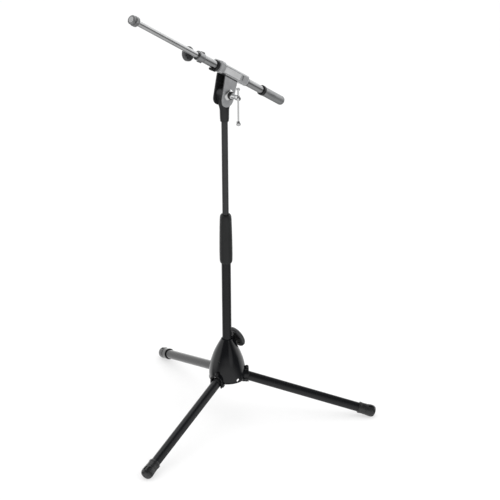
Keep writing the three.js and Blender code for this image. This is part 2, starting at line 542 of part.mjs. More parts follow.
// counterweight on the downhill end
const WEIGHT_RING = [
  [BOOM_FIT_R, 105.1], [10.8, 105.1], [11.7, 106], [11.7, 112.6], [11.3, 113.4],
  [BOOM_FIT_R, 113.4]];
const COUNTERWEIGHT = [
  [BOOM_FIT_R, 113.7], [10.4, 113.7], [10.7, 114.2], [10.7, 176.5], [7.1, 176.5],
  [7.1, 128.4], [BOOM_FIT_R, 128.4]];
const END_CAP = [
  [0, 171.4], [6.8, 171.4], [6.8, 176.8], [10.7, 176.8], [10.7, 180.4], [10, 183],
  [8.2, 184.7], [5.6, 185.4], [0, 185.6]];
const atGrub = (geometry) => solid(geometry).translate([GRUB_X, 0, 0]);
const counterweight = alongX(latheRing(COUNTERWEIGHT, 36)).subtract(atGrub(rod(2.7, -20, -5, 16)));
const grubScrew = atGrub(rod(2.45, -10.5, -7.6, 16)).subtract(atGrub(prism(hexagon(1.4), -12, -9)));
addMesh(boom, 'counterweight_ring', alongX(latheRing(WEIGHT_RING, 36)), 'plastic');
addMesh(boom, 'counterweight', counterweight, 'weight');
addMesh(boom, 'grub_screw', grubScrew, 'steel');
addMesh(boom, 'end_cap', alongX(lathe(END_CAP, 36)), 'rubber');

// extension rod and its tip
const TIP_FITTING = [
  [0, -345.7], [7.2, -345.7], [7.94, -344.9], [7.94, -330.3], [4.4, -330.3], [4.4, -309],
  [0, -309]];
const lobedRing = (outer, dip, count, x0, x1) => solid(prism(lobed(outer, dip, count), x0, x1))
  .intersect(solid(rod(outer, x0, x1, 48, 1)))
  .subtract(solid(rod(8.2, x0 - 5, x1 + 5, 36)))
  .rotate([0, 90, 0]);
addMesh(boom, 'extension_rod', alongX(pipe(ROD_OD / 2, ROD_ID / 2, -330, 30, 32)), 'boom');
addMesh(boom, 'tip_fitting', alongX(lathe(TIP_FITTING, 36)), 'steel');
addMesh(boom, 'lock_ring', lobedRing(11.3, 0.55, 16, -338.4, -328), 'casting');
addMesh(boom, 'thread_guard', lobedRing(10.3, 0.4, 14, -345.4, -338.8), 'casting');

// ---------------------------------------------------------------- tilt screw, about the pivot
const TILT_SCREW = [   // [r, distance toward -Y]
  [0, -23.6], [3.4, -23.6], [4, -23], [4, 21.3], [8.8, 21.3], [9.2, 22], [9.2, 24.2],
  [7.6, 25.6], [6.1, 28], [5.5, 35], [5.5, 39], [6.3, 41.6], [6.3, 47.6], [5.4, 49.6],
  [3, 50.8], [0, 51.1]];
const BAR_END_UPPER = [   // [r, z]
  [0, 23.9], [3.4, 23.7], [4.5, 22.4], [4.6, 20.2], [3.8, 18.6], [2.25, 18.6],
  [2.25, 21.6], [0, 21.6]];
const BAR_END_LOWER = [
  [0, -57.3], [2.25, -57.3], [2.25, -54], [3, -54], [4.9, -56.4], [5.8, -59.4],
  [5.4, -62.4], [3.6, -64.8], [0, -65.6]];
const atBar = (geometry) => solid(geometry).translate([0, TOMMY_BAR_Y, 0]);

const tilt = addGroup(stand, 0, 0, PIVOT_Z);
const tiltScrew = alongMinusY(lathe(TILT_SCREW, 32)).subtract(atBar(rod(2.3, -20, 20, 16)));
addMesh(tilt, 't_screw', tiltScrew, 'chrome');
addMesh(tilt, 'tommy_bar', atBar(rod(2, -57, 21.3, 16)), 'chrome');
addMesh(tilt, 'bar_end_upper', atBar(lathe(BAR_END_UPPER, 24)), 'chrome');
addMesh(tilt, 'bar_end_lower', atBar(lathe(BAR_END_LOWER, 28)), 'chrome');

export default stand;
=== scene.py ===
"""Boom microphone stand: detailed pieces around the CAD frame.

The column stands on +Z over three legs. The boom lies along its own X, tilted about Y so that
its counterweight end (+X) is low; the tilt screw's head points to -Y.
Pieces are made in millimetres in their own axes, then placed in metres."""
import bpy, bmesh
import numpy as np
from math import acos, cos, degrees, pi, radians, sin, sqrt, tan
from mathutils import Matrix, Vector


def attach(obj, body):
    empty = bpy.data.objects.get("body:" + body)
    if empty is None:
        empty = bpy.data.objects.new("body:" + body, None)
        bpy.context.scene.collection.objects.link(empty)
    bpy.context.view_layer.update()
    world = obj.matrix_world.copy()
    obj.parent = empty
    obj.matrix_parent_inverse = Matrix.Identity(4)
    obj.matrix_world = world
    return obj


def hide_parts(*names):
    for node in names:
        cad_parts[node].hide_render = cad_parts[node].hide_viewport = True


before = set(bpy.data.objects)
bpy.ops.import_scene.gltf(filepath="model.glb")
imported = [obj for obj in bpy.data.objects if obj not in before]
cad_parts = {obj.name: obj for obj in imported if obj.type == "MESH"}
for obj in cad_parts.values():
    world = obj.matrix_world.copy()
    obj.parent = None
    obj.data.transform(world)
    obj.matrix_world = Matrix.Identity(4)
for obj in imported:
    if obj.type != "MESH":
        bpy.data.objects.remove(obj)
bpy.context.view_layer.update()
scene = bpy.context.scene


# ------------------------------------------------------------------ places
def move(x=0, y=0, z=0):
    return Matrix.Translation((x, y, z))

def turn_x(angle):
    return Matrix.Rotation(radians(angle), 4, 'X')

def turn_y(angle):
    return Matrix.Rotation(radians(angle), 4, 'Y')

def turn_z(angle):
    return Matrix.Rotation(radians(angle), 4, 'Z')

STILL = Matrix.Identity(4)
ALONG = turn_y(90)                  # lays a turned piece's +Z along +X
ACROSS = turn_x(90)                 # lays it along -Y

# Base, millimetres and degrees
GROUND_Z = -97
LEG_AZIMUTHS = [-45, 75, 195]
LEG_SLOPE = 17.6
LEG_PIN_X, LEG_PIN_Z = 45, 6
LEG_END_X = 348
COLLAR_TOP, COLLAR_LOW = 30.0, 1.2
DOOR_HALF, DOOR_TOP = 11.9, COLLAR_TOP - 2.6     # arched opening for a leg
STOP_SCREW_X = 46.5
SHROUD_SCREW_Z = 60
KNOB_Z, KNOB_RISE = 92, 20
KNOB_AXIS = move(z=KNOB_Z) @ turn_y(90 - KNOB_RISE)

# Head and boom
PIVOT_Z = 720.0
BOOM_TILT = 33.3
BOOM_Z = 46.2                       # boom axis above the pivot
HEAD = move(z=PIVOT_Z) @ turn_y(BOOM_TILT)
HEAD_SCREW = HEAD @ ACROSS
BORE = move(z=BOOM_Z) @ ALONG
BOOM = HEAD @ move(z=BOOM_Z)
BOOM_AXIS = BOOM @ ALONG
FORK_SKEW, FORK_RADIUS = 18.5, 18
FORK_INSIDE, FORK_OUTSIDE = 11.7, 14.7           # cheek faces, each side of y = 0
GROOVE_Z = BOOM_Z - 11.3
GROOVE_START, GROOVE_END = -42, 37
PINCH_X, PINCH_Z = -66, -12.1
BAR_Y = -45.7


# ------------------------------------------------------------------ outlines
def fillet(points, radius, steps=4, closed=False):
    """Rounds the corners of an outline of (x, y) or (x, y, own radius)."""
    rounded = []
    count = len(points)
    for i, point in enumerate(points):
        corner = np.array(point[:2], float)
        own = point[2] if len(point) > 2 else radius
        back = np.array(points[i - 1][:2], float) - corner
        onward = np.array(points[(i + 1) % count][:2], float) - corner
        back_length, onward_length = np.linalg.norm(back), np.linalg.norm(onward)
        loose_end = not closed and i in (0, count - 1)
        if loose_end or own <= 0 or min(back_length, onward_length) < 1e-9:
            rounded.append(tuple(corner))
            continue
        back /= back_length
        onward /= onward_length
        angle = acos(max(-1, min(1, float(back @ onward))))
        if degrees(pi - angle) < 12:            # too slight a turn to round
            rounded.append(tuple(corner))
            continue
        reach = min(own / max(tan(angle / 2), 1e-6), back_length * 0.48, onward_length * 0.48)
        start, end = corner + back * reach, corner + onward * reach
        for k in range(steps + 1):
            t = k / steps
            rounded.append(tuple((1 - t) ** 2 * start + 2 * t * (1 - t) * corner + t * t * end))
    return rounded

def spline(points, steps):
    """Catmull-Rom curve through the points."""
    knots = [np.array(point, float) for point in points]
    knots = [2 * knots[0] - knots[1]] + knots + [2 * knots[-1] - knots[-2]]
    curve = []
    for i in range(1, len(knots) - 2):
        before, start, end, after = knots[i - 1:i + 3]
        for k in range(steps):
            t = k / steps
            curve.append(tuple(0.5 * (
                (2 * start) + (-before + end) * t
                + (2 * before - 5 * start + 4 * end - after) * t * t
                + (-before + 3 * start - 3 * end + after) * t ** 3)))
    curve.append(tuple(knots[-2]))
    return curve

def raised(points, z):
    """The same (radius, z, own fillet) points, higher by z."""
    return [(point[0], z + point[1], *point[2:]) for point in points]

def arc(x, y, radius, start, end, steps):
    angles = [radians(start + (end - start) * i / steps) for i in range(steps + 1)]
    return [(x + radius * cos(angle), y + radius * sin(angle)) for angle in angles]

def arch(half, top, low):
    """Doorway outline: straight sides, round top."""
    return [(-half, low), (half, low)] + arc(0, top - half, half, 0, 180, 24)

def round_rect(x_min, x_max, y_min, y_max, radius):
    left, right, low, high = x_min + radius, x_max - radius, y_min + radius, y_max - radius
    return (arc(right, low, radius, -90, 0, 8) + arc(right, high, radius, 0, 90, 8)
            + arc(left, high, radius, 90, 180, 8) + arc(left, low, radius, 180, 270, 8))

def hexagon(radius):
    return [(radius * cos(i * pi / 3), radius * sin(i * pi / 3)) for i in range(6)]


# ------------------------------------------------------------------ shapes: (vertices, faces) in mm
def lathe(points, segments=96, closed=False):
    """Turns (radius, z) points about Z; closed joins the last point to the first."""
    verts, rings, faces = [], [], []
    for radius, z in points:
        if radius < 1e-6:
            rings.append([len(verts)])
            verts.append((0, 0, z))
            continue
        rings.append(list(range(len(verts), len(verts) + segments)))
        for k in range(segments):
            angle = 2 * pi * k / segments
            verts.append((radius * cos(angle), radius * sin(angle), z))
    count = len(points)
    for i in range(count if closed else count - 1):
        lower, upper = rings[i], rings[(i + 1) % count]
        if len(lower) == 1 and len(upper) == 1:
            continue
        for k in range(segments):
            k2 = (k + 1) % segments
            if len(lower) == 1:
                faces.append((lower[0], upper[k2], upper[k]))
            elif len(upper) == 1:
                faces.append((lower[k], lower[k2], upper[0]))
            else:
                faces.append((lower[k], lower[k2], upper[k2], upper[k]))
    return verts, faces

def turned(points, radius, segments=96, steps=4):
    """Lathed solid with rounded corners; the outline starts and ends on the axis."""
    return lathe(fillet(points, radius, steps), segments)

def ring(points, radius, segments=96, steps=4):
    """Lathed ring with rounded corners; the outline is a loop."""
    return lathe(fillet(points, radius, steps, closed=True), segments, True)

def tube(inner, outer, bottom, top, segments=96, radius=0.3):
    return ring([(inner, bottom), (outer, bottom), (outer, top), (inner, top)], radius, segments)

def cylinder(radius, bottom, top, segments=64, rounding=0.0):
    return turned([(0, bottom), (radius, bottom), (radius, top), (0, top)], rounding, segments)

def prism(outline, bottom, top):
    """Counter-clockwise outline in (x, y), between two heights."""
    count = len(outline)
    verts = [(x, y, bottom) for x, y in outline] + [(x, y, top) for x, y in outline]
    faces = [tuple(range(count))[::-1], tuple(range(count, 2 * count))]
    faces += [(i, (i + 1) % count, count + (i + 1) % count, count + i) for i in range(count)]
    return verts, faces

def slab(outline, y_min, y_max):
    """Outline in (x, z), between two y values."""
    verts, faces = prism(outline, 0, 1)
    return [(x, y_min + (y_max - y_min) * z, y) for x, y, z in verts], faces

def box(x_min, x_max, y_min, y_max, bottom, top):
    return prism([(x_min, y_min), (x_max, y_min), (x_max, y_max), (x_min, y_max)], bottom, top)


# ------------------------------------------------------------------ meshes in metres
def clean(mesh):
    work = bmesh.new()
    work.from_mesh(mesh)
    bmesh.ops.remove_doubles(work, verts=work.verts, dist=2e-6)
    bmesh.ops.dissolve_degenerate(work, dist=2e-6, edges=work.edges)
    bmesh.ops.recalc_face_normals(work, faces=work.faces)
    if work.calc_volume(signed=True) < 0:
        bmesh.ops.reverse_faces(work, faces=work.faces)
    work.to_mesh(mesh)
    work.free()
    return mesh

def in_metres(place):
    scaled = place.copy()
    scaled.translation = place.translation * 0.001
    return scaled

def as_mesh(shape, place=STILL):
    """A placed mesh from a shape in mm, or a placed copy of a ready mesh."""
    if isinstance(shape, bpy.types.Mesh):
        mesh = shape.copy()
        mesh.transform(in_metres(place))
        return mesh
    verts, faces = shape
    mesh = bpy.data.meshes.new("tmp")
    mesh.from_pydata([tuple(place @ Vector(vert)) for vert in verts], [], faces)
    mesh.transform(Matrix.Scale(0.001, 4))
    return clean(mesh)

def add_object(name, data):
    made = bpy.data.objects.new(name, data)
    scene.collection.objects.link(made)
    return made

def evaluated(source):
    bpy.context.view_layer.update()
    graph = bpy.context.evaluated_depsgraph_get()
    return bpy.data.meshes.new_from_object(source.evaluated_get(graph))

def join(shape, place=STILL):
    return 'UNION', shape, place

def cut(shape, place=STILL):
    return 'DIFFERENCE', shape, place

def common(shape, place=STILL):
    return 'INTERSECT', shape, place

def carve(shape, *steps):
    """Applies join, cut and common steps in turn."""
    base = add_object("tmp_base", as_mesh(shape))
    tools = []
    for operation, tool_shape, place in steps:
        tools.append(add_object("tmp_cut", as_mesh(tool_shape, place)))
        modifier = base.modifiers.new("b", 'BOOLEAN')
        modifier.operation = operation
        modifier.solver = 'EXACT'
        modifier.object = tools[-1]
    result = evaluated(base)
    for spent in tools + [base]:
        bpy.data.objects.remove(spent)
    return clean(result)

def bevelled(mesh, width, angle):
    base = add_object("tmp_bev", mesh)
    modifier = base.modifiers.new("bev", 'BEVEL')
    modifier.width = width * 0.001
    modifier.segments = 3
    modifier.limit_method = 'ANGLE'
    modifier.angle_limit = radians(angle)
    modifier.use_clamp_overlap = True
    modifier.miter_outer = 'MITER_ARC'
    result = evaluated(base)
    bpy.data.objects.remove(base)
    return result

def piece(name, shape, finish, body, node, place=STILL, bevel=0.0, smooth=38, bevel_angle=32):
    """Finished object; P0 keeps each vertex's place in the piece's own axes, in mm."""
    mesh = as_mesh(shape)
    if bevel:
        mesh = bevelled(mesh, bevel, bevel_angle)
    mesh.name = name
    own = np.zeros(len(mesh.vertices) * 3, np.float32)
    mesh.vertices.foreach_get("co", own)
    mesh.attributes.new("P0", 'FLOAT_VECTOR', 'POINT').data.foreach_set("vector", own * 1000)
    mesh.transform(in_metres(place))
    mesh.shade_smooth()
    mesh.set_sharp_from_angle(angle=radians(smooth))
    mesh.materials.clear()
    mesh.materials.append(finish)
    made = add_object(name, mesh)
    normals = made.modifiers.new("wn", 'WEIGHTED_NORMAL')
    normals.keep_sharp = True
    normals.weight = 60
    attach(made, body)
    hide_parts(node)


# ------------------------------------------------------------------ shader nodes
class Graph:
    """Short ways to add nodes to the tree of a material or world."""
    def __init__(self, owner):
        owner.use_nodes = True
        self.nodes, self.links = owner.node_tree.nodes, owner.node_tree.links

    def feed(self, socket, value):
        if isinstance(value, bpy.types.NodeSocket):
            self.links.new(value, socket)
        else:
            socket.default_value = value

    def add(self, kind, inputs={}, **settings):
        node = self.nodes.new("ShaderNode" + kind)
        for key, value in settings.items():
            setattr(node, key, value)
        for key, value in inputs.items():
            self.feed(node.inputs[key], value)
        return node

    def math(self, operation, first, second=None):
        inputs = {0: first} if second is None else {0: first, 1: second}
        return self.add("Math", inputs, operation=operation).outputs[0]

    def vector(self, operation, inputs):
        return self.add("VectorMath", inputs, operation=operation).outputs

    def remap(self, value, source, target, **settings):
        """Maps the source range (low, high) onto the target range."""
        inputs = {"Value": value, "From Min": source[0], "From Max": source[1],
                  "To Min": target[0], "To Max": target[1]}
        return self.add("MapRange", inputs, **settings).outputs["Result"]

    def own_place(self):
        return self.add("Attribute", attribute_name="P0").outputs["Vector"]

    def paint(self, mask, colour, metal=None):
        """Lays a colour over the base colour, and bares the metal only where mask is 0."""
        surface = self.nodes["Principled BSDF"].inputs
        below = surface["Base Color"].links[0].from_socket
        mixed = self.add("Mix", {0: mask, 6: below, 7: colour}, data_type='RGBA')
        self.feed(surface["Base Color"], mixed.outputs[2])
        bare = self.math('SUBTRACT', 1.0, mask)
        self.feed(surface["Metallic"], self.math('MULTIPLY', metal, bare) if metal else bare)

def material(name, slot=None, *, colour, rough, metal=0.0, coat=0.0, coat_rough=0.1, spec=0.5,
             grain=None, streak=None, vary=0.15, vary_scale=0.03, rough_vary=0.06, ribs=None,
             scratch=0.0, cad=False):
    """Procedural finish.

    grain: (per mm, depth mm); streak: (across per mm, along per mm, depth mm, tone);
    ribs: (count round the axis, depth mm); vary, vary_scale: tone change and its scale per mm;
    rough_vary: roughness change; scratch: lighter scratches; cad: object coordinates, not P0."""
    made = bpy.data.materials.new(name)
    graph = Graph(made)
    surface = graph.nodes["Principled BSDF"].inputs
    surface["Metallic"].default_value = metal
    surface["Coat Weight"].default_value = coat
    surface["Coat Roughness"].default_value = coat_rough
    surface["Specular IOR Level"].default_value = spec
    if cad:
        metres = graph.add("TexCoord").outputs["Object"]
        spot = graph.vector('SCALE', {0: metres, "Scale": 1000})[0]
    else:
        spot = graph.own_place()

    def noise(scale=1.0, detail=2, rough=0.5, stretch=None):
        source = graph.vector('MULTIPLY', {0: spot, 1: stretch})[0] if stretch else spot
        inputs = {"Scale": scale, "Detail": detail, "Roughness": rough, "Vector": source}
        return graph.add("TexNoise", inputs).outputs["Fac"]

    middle = (0.3, 0.7)             # the span a noise mostly fills
    tone = graph.remap(noise(vary_scale, detail=4, rough=0.6), middle, (1 - vary, 1 + vary))
    if streak:
        across, along, streak_depth, streak_tone = streak
        lines = noise(detail=3, rough=0.6, stretch=(across, across, along))
        lines = graph.remap(lines, middle, (1 - streak_tone, 1 + streak_tone))
        tone = graph.math('MULTIPLY', tone, lines)
    if scratch:
        marks = noise(detail=6, rough=0.7, stretch=(0.9, 0.9, 0.06))
        marks = graph.remap(marks, (0.62, 0.68), (0, 1))
        tone = graph.math('ADD', tone, graph.math('MULTIPLY', marks, scratch))
    graph.feed(surface["Base Color"], graph.vector('SCALE', {0: colour, "Scale": tone})[0])

    uneven = graph.remap(noise(0.35, detail=5, rough=0.65), middle, (0, 2 * rough_vary))
    graph.feed(surface["Roughness"], graph.math('ADD', rough - rough_vary, uneven))

    heights = []
    if grain:
        heights.append(graph.math('MULTIPLY', noise(grain[0]), grain[1]))
    if streak and streak_depth:
        lines = noise(stretch=(across * 2, across * 2, along))
        heights.append(graph.math('MULTIPLY', lines, streak_depth))
    if ribs:
        own = graph.add("SeparateXYZ", {0: spot}).outputs
        angle = graph.math('ARCTAN2', own["Y"], own["X"])
        wave = graph.math('SINE', graph.math('MULTIPLY', angle, float(ribs[0])), 0.0)
        heights.append(graph.math('MULTIPLY', wave, ribs[1]))
    height = heights[0]
    for more in heights[1:]:
        height = graph.math('ADD', height, more)
    bump = graph.add("Bump", {"Strength": 1.0, "Distance": 0.001, "Height": height})
    graph.feed(surface["Normal"], bump.outputs["Normal"])
    return made


# ------------------------------------------------------------------ finishes
TUBE_LOOK = dict(grain=(1.3, 0.005), rough_vary=0.05)
CAST_LOOK = dict(colour=(0.50, 0.507, 0.515), rough=0.34, grain=(0.9, 0.012), vary=0.10,
                 vary_scale=0.06)
CHROME_LOOK = dict(colour=(0.95, 0.955, 0.96), rough=0.05, metal=1.0, vary=0.03,
                   rough_vary=0.02, grain=(0.3, 0.001))

SHELL = material("gloss_shell", colour=(0.0035, 0.0038, 0.0047), rough=0.16, coat=0.22,
                 grain=(0.35, 0.003), vary=0.2, rough_vary=0.035)
TUBE = material("black_tube", colour=(0.0042, 0.0044, 0.0052), rough=0.27, spec=0.42, coat=0.1,
                coat_rough=0.15, streak=(0.5, 0.01, 0.0, 0.25), scratch=0.3, **TUBE_LOOK)
UPPER_TUBE = material("black_tube_upper", "black_tube", colour=(0.0205, 0.021, 0.022),
                      rough=0.30, coat=0.25, coat_rough=0.18, streak=(0.5, 0.01, 0.0, 0.25),
                      scratch=0.3, **TUBE_LOOK)
LEG_TUBE = material("black_leg_tube", "black_tube", colour=(0.0045, 0.0048, 0.006), rough=0.24,
                    coat=0.2, coat_rough=0.14, streak=(0.5, 0.01, 0.0, 0.3), scratch=0.35,
                    **TUBE_LOOK)
PLASTIC = material("black_plastic", colour=(0.0085, 0.0087, 0.0095), rough=0.40,
                   grain=(1.6, 0.010), vary=0.2)
MATT = material("matt_black", "black_plastic", colour=(0.013, 0.0132, 0.014), rough=0.6,
                spec=0.18, grain=(1.6, 0.012), vary=0.2, rough_vary=0.05)
BLACK_CASTING = material("black_casting", colour=(0.011, 0.0115, 0.0125), rough=0.33, coat=0.1,
                         grain=(0.9, 0.012), vary=0.2)
# Clutch knob: black plastic given a grey tone as a painted reflection
SMALL_KNOB = material("clutch_knob_plastic", "black_plastic", colour=(0.095, 0.097, 0.10),
                      rough=0.36, spec=0.8, grain=(1.3, 0.012), vary=0.25)
BIG_KNOB = material("knob_plastic", "black_plastic", colour=(0.033, 0.0335, 0.035), rough=0.38,
                    spec=0.8, grain=(1.3, 0.012), vary=0.25)
CASTING = material("clamp_casting", metal=0.6, **CAST_LOOK)
TIP = material("tip_casting", colour=(0.40, 0.405, 0.41), rough=0.33, metal=0.95,
               grain=(1.0, 0.010))
PLATE = material("blank_plate", colour=(0.84, 0.845, 0.85), rough=0.32, metal=0.58,
                 streak=(0.02, 2.2, 0.003, 0.10), vary=0.06, rough_vary=0.05)
CHROME = material("chrome", **CHROME_LOOK)
STEEL = material("bright_steel", colour=(0.55, 0.555, 0.56), rough=0.27, metal=1.0, vary=0.1,
                 grain=(1.2, 0.004))
BOOM_STEEL = material("boom_steel", colour=(0.47, 0.475, 0.48), rough=0.24, metal=1.0,
                      streak=(0.6, 0.012, 0.0, 0.12), vary=0.08, rough_vary=0.05,
                      grain=(1.5, 0.0025), scratch=0.1)
ROD_STEEL = material("rod_steel", colour=(0.66, 0.665, 0.67), rough=0.22, metal=1.0,
                     streak=(0.6, 0.012, 0.0, 0.10), vary=0.06, rough_vary=0.05,
                     grain=(1.5, 0.0025), scratch=0.1)
WEIGHT = material("counterweight_grey", colour=(0.36, 0.365, 0.37), rough=0.40, metal=0.9,
                  grain=(1.1, 0.008), vary=0.1, streak=(0.4, 0.02, 0.0, 0.1))
FOOT = material("foot_rubber", colour=(0.013, 0.0135, 0.014), rough=0.27, spec=0.6, coat=0.5,
                coat_rough=0.16, grain=(0.8, 0.018), vary=0.25, rough_vary=0.08,
                vary_scale=0.08)
GRIP = material("grip_rubber", colour=(0.0095, 0.010, 0.0105), rough=0.42, grain=(1.4, 0.008),
                ribs=(72, 0.03), streak=(0.5, 0.01, 0.0, 0.2))
ZINC = material("dark_zinc", colour=(0.03, 0.031, 0.033), rough=0.42, metal=0.3,
                grain=(0.8, 0.02), vary=0.25, rough_vary=0.08)
CAD_PLASTIC = material("black_plastic_cad", "black_plastic", colour=(0.012, 0.0122, 0.013),
                       rough=0.45, grain=(1.6, 0.012), cad=True)
CAD_FIBRE = material("fibre_cad", "fibre", colour=(0.12, 0.095, 0.07), rough=0.8,
                     grain=(1.2, 0.05), vary=0.35, vary_scale=0.4, cad=True)
CAD_STEEL = material("bright_steel_cad", "bright_steel", colour=(0.5, 0.505, 0.51), rough=0.3,
                     metal=1.0, vary=0.1, grain=(1.2, 0.004), cad=True)

def paint_knob_shade_and_highlight(finish, radii, tones):
    """Painted shade at a knob's hub, painted highlight towards its rim: tone runs from the first
    radius to the second of a knob.
    """
    graph = Graph(finish)
    flat = graph.vector('MULTIPLY', {0: graph.own_place(), 1: (1, 1, 0)})[0]
    radius = graph.vector('LENGTH', {0: flat})["Value"]
    tone = graph.remap(radius, radii, tones, interpolation_type='SMOOTHSTEP')
    base = graph.nodes["Principled BSDF"].inputs["Base Color"]
    colour = base.links[0].from_socket
    graph.feed(base, graph.vector('SCALE', {0: colour, "Scale": tone})[0])

def paint_fork_shade(finish):
    """Painted shade: near-black inside the fork, on its cheek edges and in the block's two side
    grooves.
    """
    side_limit, edge_limit, top_limit = 14.45, 15.5, BOOM_Z - 5
    groove_half_height, groove_y, groove_half_depth = 1.45, 14.2, 1.2
    graph = Graph(finish)
    math = graph.math
    own = graph.own_place()
    x, y, z = graph.add("SeparateXYZ", {0: own}).outputs
    skew = radians(FORK_SKEW)
    skewed = graph.vector('DOT_PRODUCT', {0: own, 1: (cos(skew), 0, sin(skew))})["Value"]
    inside = math('LESS_THAN', math('ABSOLUTE', y), side_limit)
    inside = math('MULTIPLY', inside, math('LESS_THAN', skewed, edge_limit))
    inside = math('MULTIPLY', inside, math('LESS_THAN', z, top_limit))
    from_z = math('ABSOLUTE', math('SUBTRACT', z, GROOVE_Z))
    from_x = math('ABSOLUTE', math('ADD', x, -(GROOVE_START + GROOVE_END) / 2))
    from_y = math('ABSOLUTE', math('SUBTRACT', math('ABSOLUTE', y), groove_y))
    groove = math('LESS_THAN', from_z, groove_half_height)
    groove = math('MULTIPLY', groove,
                  math('LESS_THAN', from_x, (GROOVE_END - GROOVE_START) / 2))
    groove = math('MULTIPLY', groove, math('LESS_THAN', from_y, groove_half_depth))
    mask = math('MAXIMUM', inside, groove)
    # Painted shade, darker within the fork, lighter on the cheeks' edges and in the grooves
    outward = math('GREATER_THAN', math('ABSOLUTE', y), 12.25)
    black = graph.add("Mix", {0: outward, 6: (0.021, 0.0215, 0.0225, 1),
                              7: (0.05, 0.051, 0.053, 1)}, data_type='RGBA')
    graph.paint(mask, black.outputs[2], metal=0.6)

def paint_screw_shade(finish, start_y):
    """Painted shade: black on the screw's +Y side of start_y, where it sinks into the domed washer,
    which leaves the handle end bright.
    """
    graph = Graph(finish)
    y = graph.add("SeparateXYZ", {0: graph.own_place()}).outputs[1]
    graph.paint(graph.math('GREATER_THAN', y, start_y), (0.012, 0.0122, 0.013, 1))

# Painted shade darkens each knob's hub; a painted highlight lightens it towards the rim
paint_knob_shade_and_highlight(SMALL_KNOB, radii=(7.5, 13.5), tones=(0.2, 0.75))
paint_knob_shade_and_highlight(BIG_KNOB, radii=(15, 24), tones=(0.3, 1.25))
# Clamp casting with painted shade inside its fork and in its side grooves
FORK = material("clamp_casting_fork", "clamp_casting", metal=1.0, **CAST_LOOK)
paint_fork_shade(FORK)
# Chrome screw with painted shade where it enters the domed washer
SCREW = material("chrome_screw", "chrome", **CHROME_LOOK)
paint_screw_shade(SCREW, start_y=-26.3)


# ------------------------------------------------------------------ base shroud
# (radius, z): foot lip, outer curve upwards, top rim, inner curve downwards
shroud_lip = [(40.6, 7.5), (43.4, 7.5), (44, 8.2), (44, 10.3), (43.2, 11.3), (43.5, 14)]
shroud_outer = [(43.6, 17), (43.4, 25), (42, 37), (39.6, 49), (36.4, 60), (32.8, 70.5),
                (29, 79.5), (24.4, 89), (19.6, 98), (15.3, 105.6)]
shroud_rim = [(15.25, 105.7), (14.3, 107.4, 1.0), (13.5, 109, 0.7), (11.6, 109, 0.3),
              (11.6, 104.5), (14.2, 103), (15.5, 99.2)]
shroud_inner = [(15.6, 99), (20.4, 90), (25.4, 80.5), (29.9, 70.5), (33.6, 60), (36.8, 49),
                (39.3, 37), (40.7, 25)]
shroud_outline = (fillet(shroud_lip, 0.4) + spline(shroud_outer, 5)
                  + fillet(shroud_rim, 0.4)[1:] + spline(shroud_inner, 3))

collar = bevelled(carve(
    slab(arch(15, COLLAR_TOP, COLLAR_LOW), -51, 0),
    join(slab(arch(15.9, COLLAR_TOP + 0.9, COLLAR_LOW), -51, -49.7)),
    cut(lathe([(0, -20), (39, -20), (39, 30), (36, 50), (0, 50)]))), 0.7, 40)
knob_boss = carve(
    as_mesh(cylinder(8.6, 14, 22.6, 64, 0.9), KNOB_AXIS),
    cut(lathe([(0, 60), (27, 76), (21.5, 88), (17, 96), (14.6, 101.5), (12.6, 104.4),
               (12.6, 130), (0, 130)])))
steps = [join(collar, turn_z(azimuth + 90)) for azimuth in LEG_AZIMUTHS]
steps.append(join(knob_boss))
for azimuth in LEG_AZIMUTHS:
    heading = turn_z(azimuth)
    stop_axis = heading @ move(STOP_SCREW_X)
    steps += [
        cut(slab(arch(DOOR_HALF, DOOR_TOP, COLLAR_LOW - 10), -80, -24), turn_z(azimuth + 90)),
        cut(cylinder(3.3, -22, 22, 32), heading @ move(LEG_PIN_X, 0, LEG_PIN_Z) @ ACROSS),
        cut(cylinder(2.3, 15, 40, 24), stop_axis),
        cut(cylinder(4.8, COLLAR_TOP - 0.7, 50, 32), stop_axis),
        cut(cylinder(2.6, -12, 12, 24), heading @ move(38, 0, SHROUD_SCREW_Z) @ ALONG)]
steps.append(cut(cylinder(4.0, -8, 8, 32), turn_z(-97) @ move(42, 0, 14.4) @ ALONG))
steps.append(cut(cylinder(6.6, 8, 50, 48), KNOB_AXIS))
piece("shroud", carve(lathe(shroud_outline, 144, True), *steps), SHELL, "base", "base_shroud",
      smooth=30)

# ------------------------------------------------------------------ base core: sleeve and ribs
core = ring([(11.3, 1.6), (16.5, 1.6), (16.5, 90), (13.8, 90), (13.8, 101.5), (11.3, 101.5)],
            0.5, 72)
rib = slab([(14, 30), (35.5, 30), (35.5, 49), (28, 66), (14, 78)], -1.6, 1.6)
steps = [join(rib, turn_z(azimuth)) for azimuth in (15, 135, 255)]
steps.append(join(cylinder(6.2, 12.5, 23.4, 48), KNOB_AXIS))
screw_post = box(15.4, 31, -4, 4, SHROUD_SCREW_Z - 4.5, SHROUD_SCREW_Z + 4.5)
steps += [join(screw_post, turn_z(azimuth)) for azimuth in LEG_AZIMUTHS]
steps.append(cut(cylinder(11.3, 0, 120, 72)))
steps.append(cut(cylinder(3.9, 0, 40, 32), KNOB_AXIS))
steps += [cut(cylinder(1.7, 24, 50, 20), turn_z(azimuth) @ move(z=SHROUD_SCREW_Z) @ ALONG)
          for azimuth in LEG_AZIMUTHS]
piece("core", carve(core, *steps), ZINC, "base", "base_core", bevel=0.35, smooth=30)


# ------------------------------------------------------------------ legs
LEG_LENGTH = (LEG_END_X - LEG_PIN_X) / cos(radians(LEG_SLOPE))
LEG_TUBE_END = LEG_LENGTH - 3
CAP_START = LEG_LENGTH - 38
TUBE_LIFT = 4.9                     # tube axis above the pin
TUBE_AXIS = move(z=TUBE_LIFT) @ ALONG

